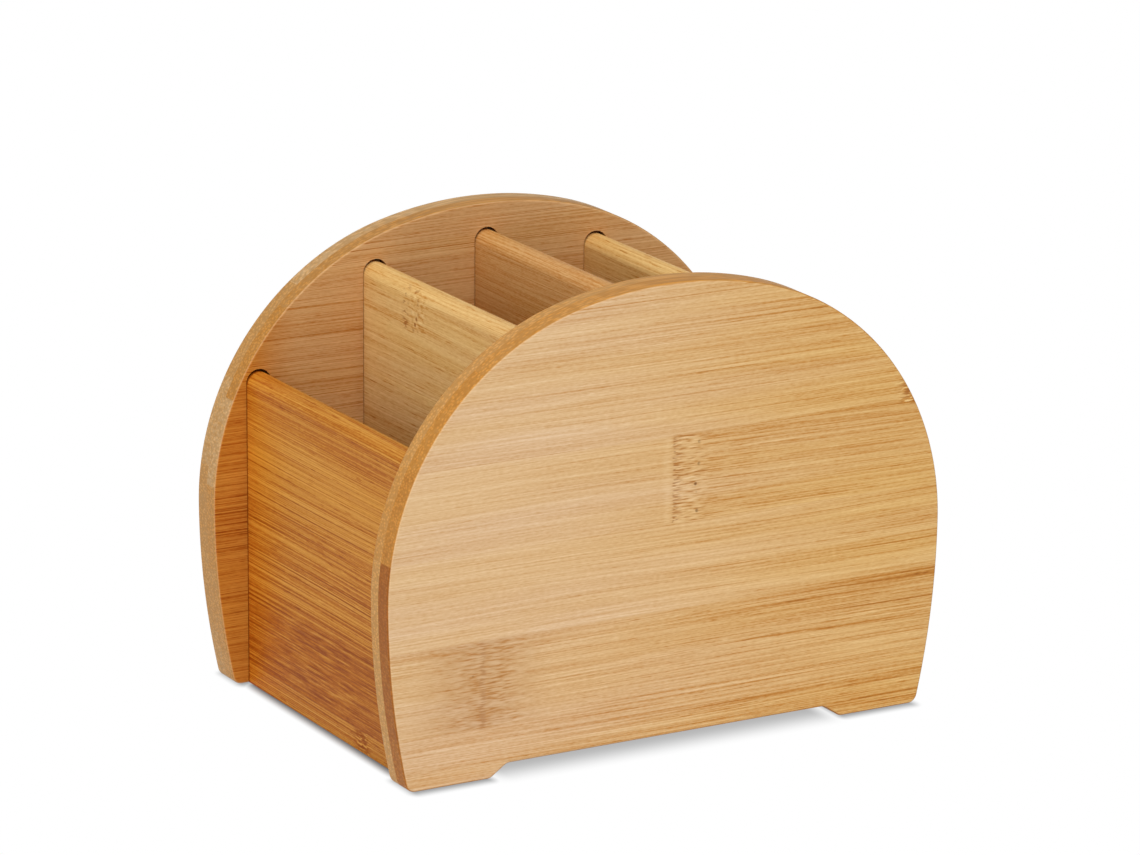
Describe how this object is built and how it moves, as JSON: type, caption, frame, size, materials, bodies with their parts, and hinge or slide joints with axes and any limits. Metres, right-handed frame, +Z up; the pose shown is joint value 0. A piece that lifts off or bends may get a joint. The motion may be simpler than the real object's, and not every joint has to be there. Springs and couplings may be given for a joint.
{
  "type": "pen holder",
  "caption": "Free-standing bamboo pen holder: arched cheeks of glued plies on shallow feet, joined by round-topped uprights in stopped grooves that part open compartments",
  "frame": {"origin": "on the table, under the middle of the holder's width and depth", "axes": "+X along the cheeks to the right as seen from the front, +Y from the front cheek to the rear cheek, +Z up"},
  "size_m": [0.15, 0.0988, 0.1134],
  "materials": {
    "cheek_outer_bamboo": "satin",
    "cheek_inner_bamboo": "satin",
    "end_wall_bamboo": "satin",
    "divider_bamboo": "satin",
    "floor_bamboo": "satin"
  },
  "bodies": {
    "root": {"front_cheek_outer_ply": "cheek_outer_bamboo", "front_cheek_inner_ply": "cheek_inner_bamboo", "rear_cheek_inner_ply": "cheek_inner_bamboo", "rear_cheek_outer_ply": "cheek_outer_bamboo", "left_end_wall": "end_wall_bamboo", "left_divider": "divider_bamboo", "middle_divider": "divider_bamboo", "right_divider": "divider_bamboo", "right_end_wall": "end_wall_bamboo", "floor_panel": "floor_bamboo"}
  },
  "joints": []
}
